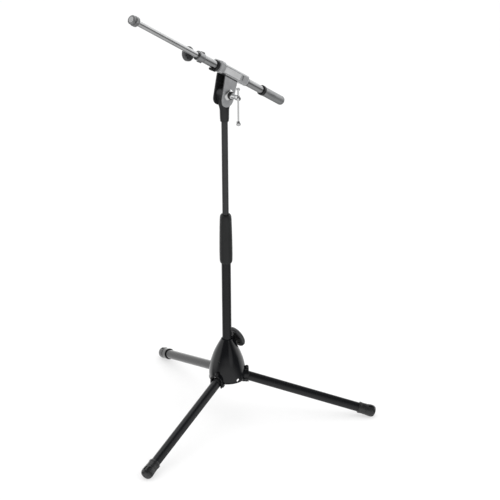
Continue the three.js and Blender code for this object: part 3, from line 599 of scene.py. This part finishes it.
def leg_fixings(number, heading):
    pin = turned([(0, -17.6), (4.2, -17.6, 0.9), (4.2, -15.3, 0.1), (3, -15.3), (3, 15.3),
                  (4.2, 15.3, 0.1), (4.2, 17.6, 0.9), (0, 17.6)], 0.2, 40)
    piece(f"pin_{number}", pin, ZINC, "base", f"leg_pin_{number}",
          heading @ move(LEG_PIN_X, 0, LEG_PIN_Z) @ ACROSS)
    dome = [(4.3, -0.2), (4.3, 4.8), (3.6, 6.2), (2.1, 7.0), (0, 7.2)]
    shank = [(0, -3.9), (1.9, -3.9), (1.9, -0.4), (4.3, -0.4)]
    stop = carve(lathe(shank + fillet(dome, 0.9, 5), 48), cut(box(-0.5, 0.5, -3, 3, 6.1, 9)))
    piece(f"stop_screw_{number}", stop, PLASTIC, "base", f"leg_stop_screw_{number}",
          heading @ move(STOP_SCREW_X, 0, COLLAR_TOP))
    screw = turned([(0, 29), (1.4, 29), (1.4, 35), (2.3, 35), (2.3, 36.2, 0.3), (0, 36.2)],
                   0.1, 28)
    piece(f"shroud_screw_v_{number}", carve(screw, cut(box(-0.4, 0.4, -3, 3, 35.6, 37))), ZINC,
          "base", f"shroud_screw_{number}", heading @ move(z=SHROUD_SCREW_Z) @ ALONG)

def knuckle():
    """Plug in the tube's inner end; its nose follows the collar's arched opening."""
    arch_rise = DOOR_TOP - DOOR_HALF - LEG_PIN_Z
    half = [(9.5, 11.4)]
    for radius in (11, 12.5, 14, 15.2, 16.2):
        width = sqrt(DOOR_HALF ** 2 - max(0, radius - arch_rise) ** 2)
        half.append((radius, width - 0.45))
    nose = [(0, -11.4)] + [(radius, -y) for radius, y in half] + half[::-1] + [(0, 11.4)]
    return carve(as_mesh(cylinder(11.15, -20, 4.0, 72), TUBE_AXIS),
                 common(lathe(nose), ACROSS),
                 join(cylinder(9.45, 2, 42, 64, 0.8), TUBE_AXIS),
                 cut(cylinder(3.25, -30, 30, 40), ACROSS))

def foot_cap():
    """Rubber cap, cut flat at the ground, with two slots across the top of the toe."""
    outline = raised([
        (11.45, 0), (13.2, 0, 0.5), (13.9, 1.0, 0.7), (13.9, 4.8, 0.7), (13.35, 5.8, 0.6),
        (13.2, 11), (13.45, 17), (13.45, 17.4, 0.2), (13.0, 17.9, 0.2), (13.0, 19.1, 0.2),
        (13.6, 19.6, 0.2), (13.9, 24), (14.4, 32, 3), (13.7, 37, 3), (11.4, 40.6, 3),
        (7, 42.3, 3), (0, 42.5)], CAP_START)
    outline += [(0, LEG_TUBE_END + 0.3), (11.45, LEG_TUBE_END + 0.3)]
    ground = as_mesh(box(0, 900, -60, 60, -260, GROUND_Z))
    steps = [cut(ground, turn_y(-LEG_SLOPE) @ move(z=-LEG_PIN_Z))]
    for y_min, y_max in ((-6.4, -2.6), (2.6, 6.4)):
        slot = round_rect(CAP_START + 23, CAP_START + 34.5, y_min, y_max, 1.2)
        steps.append(cut(prism(slot, TUBE_LIFT + 10.6, 30)))
    return carve(as_mesh(lathe(fillet(outline, 0.3, 5), 96, True), TUBE_AXIS), *steps)

for number, azimuth in enumerate(LEG_AZIMUTHS, 1):
    heading = turn_z(azimuth)
    leg_fixings(number, heading)
    leg = heading @ move(LEG_PIN_X, 0, LEG_PIN_Z) @ turn_y(LEG_SLOPE)
    body = f"leg_{number}"
    piece(f"{body}_tube", tube(9.7, 11.2, 4.3, LEG_TUBE_END), LEG_TUBE, body,
          f"leg_tube_{number}", leg @ move(z=TUBE_LIFT) @ ALONG)
    piece(f"{body}_knuckle", knuckle(), ZINC, body, f"leg_knuckle_{number}", leg, bevel=0.4,
          smooth=30)
    piece(f"{body}_foot", foot_cap(), FOOT, body, f"foot_cap_{number}", leg, smooth=34)


# ------------------------------------------------------------------ base knob
def around(shape, radius, count, first=0):
    """Cuts evenly spaced round Z."""
    angles = [radians(i * (360 / count) + first) for i in range(count)]
    return [cut(shape, move(radius * cos(angle), radius * sin(angle))) for angle in angles]

knob = carve(
    turned([(0, 26.6), (22, 26.6), (24.6, 27.4), (26.7, 29), (26.7, 33.6, 1.2), (25, 35.6, 1.4),
            (20, 36.6, 2), (10, 37.4, 3), (0, 37.6)], 0.7, 144, 5),
    *around(cylinder(3.2, 20, 50, 28), 28.4, 12),
    *around(cylinder(3.8, 20, 31, 28), 16, 6, first=15),
    join(cylinder(8, 24.2, 27.5, 48, 0.4)),
    cut(cylinder(3.9, 20, 32.8, 32)))
piece("knob_base", knob, BIG_KNOB, "base_knob", "base_knob", KNOB_AXIS, bevel=0.5, smooth=30,
      bevel_angle=38)
stud = turned([(0, 14.7), (3.6, 14.7, 0.6), (3.6, 32.5, 0.6), (0, 32.5)], 0.4, 48)
piece("knob_base_stud", stud, STEEL, "base_knob", "base_knob_stud", KNOB_AXIS)

# ------------------------------------------------------------------ column, grip and mast
piece("column_lower", tube(9.5, 11, 1.8, 314), TUBE, "column", "lower_tube")
plug = turned([(0, 0), (12.2, 0), (13, 0.8), (13, 1.3), (9.2, 1.5), (9.2, 18), (7, 18), (7, 4),
               (0, 4)], 0.25, 72)
piece("column_plug", plug, PLASTIC, "column", "column_end_plug")

GRIP_Z = 305.5
# (radius, z above the grip's foot)
grip_foot = [(11.35, 0), (12.9, 0, 0.4), (13.9, 1.9, 0.4)]
grip_side = [(13.9, 2.0), (14.7, 5), (15.1, 12), (15.25, 26), (15.2, 42), (15.0, 60),
             (14.65, 78), (14.25, 95), (13.85, 108), (13.25, 115.5), (12.3, 119)]
grip_mouth = [(12.3, 119.1), (11.3, 120.6, 0.8), (10.3, 121.5, 0.5), (8.9, 121.5, 0.4),
              (8.9, 117), (9.8, 113), (11.6, 100), (11.6, 6), (11.35, 4)]
grip_outline = (fillet(raised(grip_foot, GRIP_Z), 0.4)[:-1] + spline(raised(grip_side, GRIP_Z), 5)
                + fillet(raised(grip_mouth, GRIP_Z), 0.4)[1:])
grip = carve(lathe(grip_outline, 144, True),
             cut(cylinder(1.5, 12.9, 20, 24), move(z=GRIP_Z + 112) @ turn_z(-74) @ ALONG))
piece("grip", grip, GRIP, "grip", "hand_grip", smooth=34)
piece("grip_wiper", tube(7.75, 8.6, GRIP_Z + 117.4, GRIP_Z + 121, 64), PLASTIC, "grip",
      "wiper_ring")
piece("mast_tube", tube(6, 7.5, 128, 672, 80), UPPER_TUBE, "mast", "upper_tube")

# ------------------------------------------------------------------ head socket and its tongue
SOCKET_Z = 648.5
socket = turned(raised([
    (0, 25), (7.75, 25), (7.75, 5.5), (9.2, 5.5, 0.3), (10, 6.3, 0.3), (10.1, 10.5, 0.3),
    (10.45, 11.5, 0.4), (10.9, 32), (10.9, 42, 1.5), (9, 50, 1.5), (0, 54)], SOCKET_Z), 0.3)
tongue = ([(-10, SOCKET_Z + 34), (10, SOCKET_Z + 34), (13.5, PIVOT_Z - 10)]
          + arc(0, PIVOT_Z, 15.6, -30, 210, 40) + [(-13.5, PIVOT_Z - 10)])
flare = raised([(0, 30), (10.6, 30), (10.8, 33), (11.2, 36), (12.0, 40), (13.2, 44), (14.9, 48),
                (17, 52), (20.5, 60)], SOCKET_Z) + [(20.5, PIVOT_Z + 20), (0, PIVOT_Z + 20)]
socket = carve(socket, join(carve(slab(tongue, -10.6, 10.6), common(lathe(flare)))),
               cut(cylinder(4.35, -20, 20, 32), move(z=PIVOT_Z) @ ACROSS))
piece("socket", socket, BLACK_CASTING, "mast", "head_socket", bevel=0.6, smooth=30)


# ------------------------------------------------------------------ clamp: block over a fork
def skewed(across, up):
    """A point of the fork's leaning side view."""
    skew = radians(FORK_SKEW)
    return across * cos(skew) - up * sin(skew), across * sin(skew) + up * cos(skew)

CHEEK_Z = -11                       # centre of the cheeks' round ends
cheek = [skewed(FORK_RADIUS + 2.2, 38), skewed(-FORK_RADIUS - 2.2, 48),
         skewed(-FORK_RADIUS - 0.2, CHEEK_Z)]
for i in range(1, 36):
    angle = radians(180 + 180 * i / 36)
    cheek.append(skewed(FORK_RADIUS * cos(angle), CHEEK_Z + FORK_RADIUS * sin(angle)))
cheek.append(skewed(FORK_RADIUS + 0.2, CHEEK_Z))
web = [skewed(FORK_RADIUS + 2.2, 38), skewed(11, 44), skewed(12.5, 10),
       skewed(FORK_RADIUS + 0.2, 10)]
block = prism(round_rect(-11.6, 11.6, -FORK_OUTSIDE, FORK_OUTSIDE, 4.2), -45, 39.5)
clamp = carve(
    as_mesh(block, move(z=BOOM_Z + 0.6) @ ALONG),
    join(cylinder(11.1, 38, 47, 96), BORE),
    join(carve(slab(web, -12.2, 12.2), common(box(-60, 60, -13, 13, 17.6, BOOM_Z - 4)))),
    join(slab(cheek, -FORK_OUTSIDE, -FORK_INSIDE)),
    join(slab(cheek, FORK_INSIDE, FORK_OUTSIDE)))
groove = cylinder(1.5, GROOVE_START, GROOVE_END, 24)
clamp = carve(
    clamp,
    cut(cylinder(10.25, -80, 80, 96), BORE),
    cut(box(18, 23.4, -16, -12, BOOM_Z - 4, BOOM_Z + 7.6)),
    cut(slab(round_rect(-41, 14.4, BOOM_Z - 6.6, BOOM_Z + 7.4, 1.5), -17, -13.9)),
    cut(groove, move(0, -15.1, GROOVE_Z) @ ALONG),
    cut(groove, move(0, 15.1, GROOVE_Z) @ ALONG),
    cut(cylinder(4.35, -20, 20, 40), ACROSS))
piece("clamp", clamp, FORK, "clamp", "boom_clamp", HEAD, bevel=0.55, smooth=30, bevel_angle=30)

# Plate on the -Y face, with a raised rim
plate = carve(
    slab(round_rect(-40.6, 14, BOOM_Z - 6.2, BOOM_Z + 7, 1.2), -14.9, -14.2),
    cut(slab(round_rect(-39.2, 12.6, BOOM_Z - 4.9, BOOM_Z + 5.7, 0.8), -16, -14.65)))
piece("plate", plate, PLATE, "clamp", "blank_plate", HEAD, bevel=0.12, smooth=30)

dome = ring([(4.6, 15), (13, 15, 0.3), (13.2, 16, 0.4), (12.6, 17.6, 1), (10.4, 19.6, 3),
             (7.4, 20.8, 2), (4.6, 21, 0.3)], 0.3, 96, 5)
piece("washer_dome", dome, CHROME, "clamp", "domed_washer", HEAD_SCREW)
piece("washer_back", tube(4.6, 9, -16.4, -15, 64, 0.25), STEEL, "clamp", "back_washer",
      HEAD_SCREW)
nut = carve(
    prism(hexagon(7.4), -23.2, -16.7),
    common(lathe([(0, -23.3), (6.2, -23.3), (7.6, -22.2), (7.6, -16), (0, -16)], 72)),
    cut(cylinder(4.25, -30, -10, 40)))
piece("nut_back", nut, STEEL, "clamp", "back_nut", HEAD_SCREW, bevel=0.2, smooth=28)

# Cap on the block's -X end
cap = carve(as_mesh(prism(round_rect(-14.4, 12.2, -15, 15, 4.4), -56.8, -45.4), BORE),
            cut(cylinder(10.3, -80, -30, 96), BORE))
piece("block_cap", cap, CASTING, "clamp", "clamp_end_cap", HEAD, bevel=0.8, smooth=30)

# ------------------------------------------------------------------ split bush
bush = ring([(9.25, -63.5), (11, -63.5, 0.4), (11.7, -62.8, 0.4), (11.7, -57.4, 0.3),
             (10, -57.4), (10, 47.4), (10.7, 47.4), (10.7, 49, 0.3), (9.25, 49)], 0.2)
ear = fillet([(-71.5, -13.2), (-69.5, -14.8), (-60, -14.8), (-57.5, -14.2), (-57.5, -9.4),
              (-70.5, -9.4), (-71.5, -10.6)], 0.8, 5, closed=True)
ear = carve(slab(ear, -4.6, 4.6), cut(cylinder(9.25, -90, 90, 96), ALONG))
bush = carve(as_mesh(bush, ALONG), join(ear))
bush = carve(bush, cut(box(-90, -57.7, -0.6, 0.6, -30, 0)),
             cut(cylinder(1.6, -10, 10, 28), move(PINCH_X, 0, PINCH_Z) @ ACROSS))
piece("bush", bush, PLASTIC, "boom_bush", "boom_bush", BOOM, bevel=0.3, smooth=30)
screw = turned([(0, -5.6), (1.3, -5.6), (1.3, 4.9), (2.3, 4.9), (2.3, 6.6, 0.5), (0, 6.6)],
               0.12, 40)
piece("bush_pinch_screw", carve(screw, cut(prism(hexagon(1.1), 5.4, 9))), ZINC, "boom_bush",
      "bush_screw", BOOM @ move(PINCH_X, 0, PINCH_Z) @ ACROSS)

# ------------------------------------------------------------------ boom and clutch
piece("boom_main", tube(7, 9, -124.6, 128), BOOM_STEEL, "boom", "boom_tube", BOOM_AXIS)

sleeve = as_mesh(ring([(9.3, -124.9), (10.7, -124.9), (10.9, -124.3), (10.9, -107.6, 0.8),
                       (10.2, -105.6, 0.6), (9.3, -105.6)], 0.3), ALONG)
for side in (-1, 1):
    lug = [(-116.2, side * 9.8), (-107.8, side * 9.8), (-108.8, side * 12.6),
           (-115.6, side * 12.6)][::side]
    lug = carve(slab(lug, -4, 4), cut(cylinder(9.3, -140, -100, 64), ALONG))
    sleeve = carve(sleeve, join(lug))
piece("clutch_sleeve", sleeve, TIP, "boom", "clutch_body", BOOM, bevel=0.35, smooth=30)

CLUTCH_ROLL = -12
CLUTCH_AXIS = move(-132.6) @ turn_x(CLUTCH_ROLL - 90)
nose = ring([(6.8, -140.8, 0.3), (10.6, -140.8, 0.8), (11.7, -139.6, 0.8), (11.9, -137.6),
             (11.9, -126.6), (11.4, -125.3, 0.3), (6.8, -125.3)], 0.3)
boss = carve(as_mesh(cylinder(5.9, 5, 14.4, 56, 0.5), CLUTCH_AXIS),
             cut(cylinder(6.8, -160, -110, 64), ALONG))
nose = carve(as_mesh(nose, ALONG), join(boss))
nose = carve(nose, cut(cylinder(3.3, 0, 30, 40), CLUTCH_AXIS))
piece("clutch_nose_v", nose, MATT, "boom", "clutch_nose", BOOM, bevel=0.35, smooth=30)

knob = carve(
    turned([(0, 14.9), (6, 14.9), (6.6, 16), (14.8, 16), (16.6, 17.4, 1), (16.8, 23, 1.2),
            (15.4, 25.2, 1.6), (11, 26.2, 2), (0, 26.6)], 0.5, 120, 5),
    *around(cylinder(2.6, 12, 34, 28), 18.1, 10),
    *around(cylinder(2.3, 12, 17.6, 24), 11.2, 8, first=12),
    cut(cylinder(3.3, 10, 22.9, 32)))
piece("knob_clutch", knob, SMALL_KNOB, "clutch_knob", "clutch_knob", BOOM @ CLUTCH_AXIS,
      bevel=0.4, smooth=30, bevel_angle=38)
stud = turned([(0, 6.95), (3, 6.95, 0.5), (3, 22.6, 0.5), (0, 22.6)], 0.4, 48)
piece("knob_clutch_stud", stud, STEEL, "clutch_knob", "clutch_knob_stud", BOOM @ CLUTCH_AXIS)

# ------------------------------------------------------------------ counterweight
collar = ring([(9.3, 105.1), (10.8, 105.1, 0.5), (11.7, 106, 0.6), (11.7, 112.6, 0.4),
               (11.3, 113.4, 0.3), (9.3, 113.4)], 0.3, 96, 5)
piece("weight_ring", collar, PLASTIC, "boom", "counterweight_ring", BOOM_AXIS)
weight = ring([(9.3, 113.7), (10.4, 113.7, 0.3), (10.7, 114.2, 0.3), (10.7, 176.5, 0.2),
               (7.1, 176.5), (7.1, 128.4), (9.3, 128.4)], 0.2)
weight = carve(weight, cut(cylinder(2.7, -20, -5, 28), ALONG.inverted() @ move(144)))
piece("weight", weight, WEIGHT, "boom", "counterweight", BOOM_AXIS)
cap = turned([(0, 171.4), (6.8, 171.4), (6.8, 176.8), (10.7, 176.8, 0.2), (10.7, 180.4, 2),
              (10, 183, 2), (8.2, 184.7, 2), (5.6, 185.4, 2), (0, 185.6)], 0.3, 96, 6)
piece("weight_cap", cap, WEIGHT, "boom", "end_cap", BOOM_AXIS)

# ------------------------------------------------------------------ extension rod and tip
piece("rod", tube(4.6, 6.5, -330, 30, 80), ROD_STEEL, "extension", "extension_rod", BOOM_AXIS)

# Ridges stand for the thread
tip = [(0, -345.7), (6.9, -345.7), (7.4, -345.1)]
z = -344.8
while z < -331.6:
    tip += [(7.45, z), (7.9, z + 0.35), (7.9, z + 0.5), (7.45, z + 0.85)]
    z += 0.94
tip += fillet([(7.5, -331.2), (7.9, -331.0, 0.2), (7.9, -330.3, 0.2), (4.4, -330.3),
               (4.4, -309, 0.5), (0, -309)], 0.2)
piece("tip", lathe(tip), STEEL, "extension", "tip_fitting", BOOM_AXIS)

def knurled_ring(radius, dip, flutes, start, end, groove_start, groove_radius):
    count = flutes * 8
    outline = []
    for i in range(count):
        angle = 2 * pi * i / count
        reach = radius - dip * 0.5 * (1 - cos(flutes * angle))
        outline.append((reach * cos(angle), reach * sin(angle)))
    limit = [(0, start), (radius - 1, start, 0.3), (radius, start + 1, 0.4),
             (radius, groove_start, 0.1), (groove_radius, groove_start + 0.4, 0.1),
             (groove_radius, groove_start + 1.2, 0.1), (radius, groove_start + 1.6, 0.1),
             (radius, end - 1, 0.4), (radius - 1, end, 0.3), (0, end)]
    return carve(prism(outline, start, end), common(turned(limit, 0.2, 144)),
                 cut(cylinder(8.2, start - 5, end + 5, 72)))

piece("ring_lock", knurled_ring(11.3, 0.55, 26, -338.4, -328, -331.6, 10.7), TIP, "lock_ring",
      "lock_ring", BOOM_AXIS, smooth=26)
piece("ring_guard", knurled_ring(10.3, 0.4, 22, -345.4, -338.8, -342.9, 9.6), TIP,
      "thread_guard", "thread_guard", BOOM_AXIS, smooth=26)

# ------------------------------------------------------------------ tilt screw and its bar
PIVOT = move(z=PIVOT_Z)
screw = turned([
    (0, -23.6), (3.4, -23.6), (4, -23), (4, 21.3), (8.8, 21.3, 0.3), (9.2, 22, 0.3),
    (9.2, 24.2, 0.6), (7.6, 25.6, 0.8), (6.1, 28, 1), (5.5, 35, 2), (5.5, 39, 1.5),
    (6.3, 41.6, 1.5), (6.3, 47.6, 1.5), (5.4, 49.6, 1.5), (3, 50.8, 1.5), (0, 51.1)], 0.3, 96, 5)
screw = carve(as_mesh(screw, ACROSS), cut(cylinder(2.3, -20, 20, 32), move(0, BAR_Y)))
piece("tilt_screw_v", screw, SCREW, "tilt_screw", "t_screw", PIVOT, smooth=32)

BAR = PIVOT @ move(0, BAR_Y)
bar = turned([(0, -57), (2, -57), (2, 21.3), (0, 21.3)], 0.3, 40)
piece("bar", bar, CHROME, "tommy_bar", "tommy_bar", BAR)
bar_top = turned([(0, 23.9), (3.4, 23.7, 0.8), (4.5, 22.4, 0.8), (4.6, 20.2, 0.8),
                  (3.8, 18.6, 0.5), (2.25, 18.6), (2.25, 21.6), (0, 21.6)], 0.2, 56, 5)
piece("bar_top", bar_top, CHROME, "tommy_bar", "bar_end_upper", BAR)
ball = turned([(0, -57.3), (2.25, -57.3), (2.25, -54), (3, -54, 0.4), (4.9, -56.4, 1.5),
               (5.8, -59.4, 2), (5.4, -62.4, 2), (3.6, -64.8, 2), (0, -65.6)], 0.2, 64, 6)
piece("bar_ball", ball, CHROME, "tommy_bar", "bar_end_lower", BAR)

# ------------------------------------------------------------------ CAD pieces kept as they are
CAD_FINISHES = {
    "clamp_shoe": CAD_PLASTIC, "clutch_insert": CAD_PLASTIC, "collet": CAD_FIBRE,
    "guide_bush": CAD_PLASTIC, "friction_washer_front": CAD_FIBRE,
    "friction_washer_back": CAD_FIBRE, "grub_screw": CAD_STEEL}
for name, finish in CAD_FINISHES.items():
    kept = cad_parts[name]
    kept.data.materials.clear()
    kept.data.materials.append(finish)

# ------------------------------------------------------------------ floor, metres
FLOOR_HALF, FLOOR_Z = 30, -0.0972
floor_finish = bpy.data.materials.new("floor")
floor_graph = Graph(floor_finish)
for socket, value in {
        "Base Color": (0.42, 0.42, 0.42, 1), "Emission Color": (1, 1, 1, 1),
        "Emission Strength": 0.57, "Roughness": 0.9, "Specular IOR Level": 0.1}.items():
    floor_graph.feed(floor_graph.nodes["Principled BSDF"].inputs[socket], value)
floor_mesh = bpy.data.meshes.new("floor")
floor_mesh.from_pydata([(x * FLOOR_HALF, y * FLOOR_HALF, FLOOR_Z)
                        for x, y in ((-1, -1), (1, -1), (1, 1), (-1, 1))], [], [(0, 1, 2, 3)])
floor_mesh.materials.append(floor_finish)
floor = add_object("floor", floor_mesh)
floor.visible_glossy = False

# ------------------------------------------------------------------ world
VIEW_YAW = 42.73

def from_camera(x, y, z):
    """Turns a place given across and away from the camera into the row frame."""
    yaw = radians(VIEW_YAW)
    return (x * cos(yaw) + y * sin(yaw), -x * sin(yaw) + y * cos(yaw), z)

# Soft panels seen in polished surfaces: azimuth from the camera's right, turning away from it;
# elevation; inner and outer half-angle; brightness
PANELS = [
    (118, -14, 26, 52, 0.95), (180, 12, 12, 38, 0.65), (270, -50, 40, 76, 0.52),
    (36, 3, 12, 44, 0.90), (75, 0, 12, 34, 0.60), (300, 18, 6, 20, 0.35),
    (100, 60, 14, 34, 0.70), (3, 24, 8, 24, 0.35), (20, 24, 3, 7, 1.6), (160, 34, 3, 8, 1.6)]
ROOM_BRIGHTNESS = 0.07
world = bpy.data.worlds.new("studio")
scene.world = world
graph = Graph(world)
sky = graph.add("TexCoord").outputs["Generated"]
room = ROOM_BRIGHTNESS
for azimuth, elevation, inner, outer, brightness in PANELS:
    around_z, rise = radians(azimuth), radians(elevation)
    centre = from_camera(cos(around_z) * cos(rise), sin(around_z) * cos(rise), sin(rise))
    facing = graph.vector('DOT_PRODUCT', {0: sky, 1: centre})["Value"]
    panel = graph.remap(facing, (cos(radians(outer)), cos(radians(inner))), (0, brightness),
                        interpolation_type='SMOOTHSTEP')
    room = graph.math('ADD', room, panel)
# Only reflections see the room; the camera and diffuse light see plain white
ray = graph.add("LightPath").outputs
reflected = graph.add("Mix", {0: ray["Is Glossy Ray"], 2: 1.0, 3: room}, data_type='FLOAT')
seen = graph.add("Mix", {0: ray["Is Camera Ray"], 2: reflected.outputs[0], 3: 1.0},
                 data_type='FLOAT')
background = graph.nodes["Background"].inputs
graph.feed(background["Strength"], seen.outputs[0])
background["Color"].default_value = (1, 1, 1, 1)


# ------------------------------------------------------------------ lights
def area_light(name, place, target, size, power):
    light = bpy.data.lights.new(name, 'AREA')
    light.shape = 'RECTANGLE'
    light.size = light.size_y = size
    light.energy = power
    lamp = add_object(name, light)
    lamp.location = place
    lamp.visible_glossy = False
    aim = Vector(target) - Vector(place)
    lamp.rotation_euler = aim.to_track_quat('-Z', 'Y').to_euler()

area_light("key", from_camera(2.4, -1.2, 2.6), target=(0, 0, 0.5), size=1.8, power=22)
area_light("top", from_camera(-0.4, 0.6, 3.6), target=(0, 0, 0.4), size=2.6, power=20)

# ------------------------------------------------------------------ camera
CAMERA_DISTANCE, CAMERA_HEIGHT = 4.0, 2.2188     # metres; height above the ground
pitch, pan, roll = radians(24.07), radians(0.82), radians(-0.31)
lens = bpy.data.cameras.new("cam")
lens.lens = 136.188
lens.sensor_width = 36
lens.clip_end = 100
lens.shift_x, lens.shift_y = -0.0014, 0.001
camera = add_object("cam", lens)
forward = Vector((sin(pan) * cos(pitch), cos(pan) * cos(pitch), -sin(pitch)))
right = Vector((cos(pan), -sin(pan), 0))
up = right.cross(forward)
rolled_right = cos(roll) * right + sin(roll) * up
rolled_up = -sin(roll) * right + cos(roll) * up
facing = Matrix((rolled_right, rolled_up, -forward)).transposed()
stance = move(0, -CAMERA_DISTANCE, CAMERA_HEIGHT + GROUND_Z / 1000)
camera.matrix_world = turn_z(-VIEW_YAW) @ (stance @ facing.to_4x4())
scene.camera = camera
scene.view_settings.view_transform = 'Standard'
scene.view_settings.look = 'None'
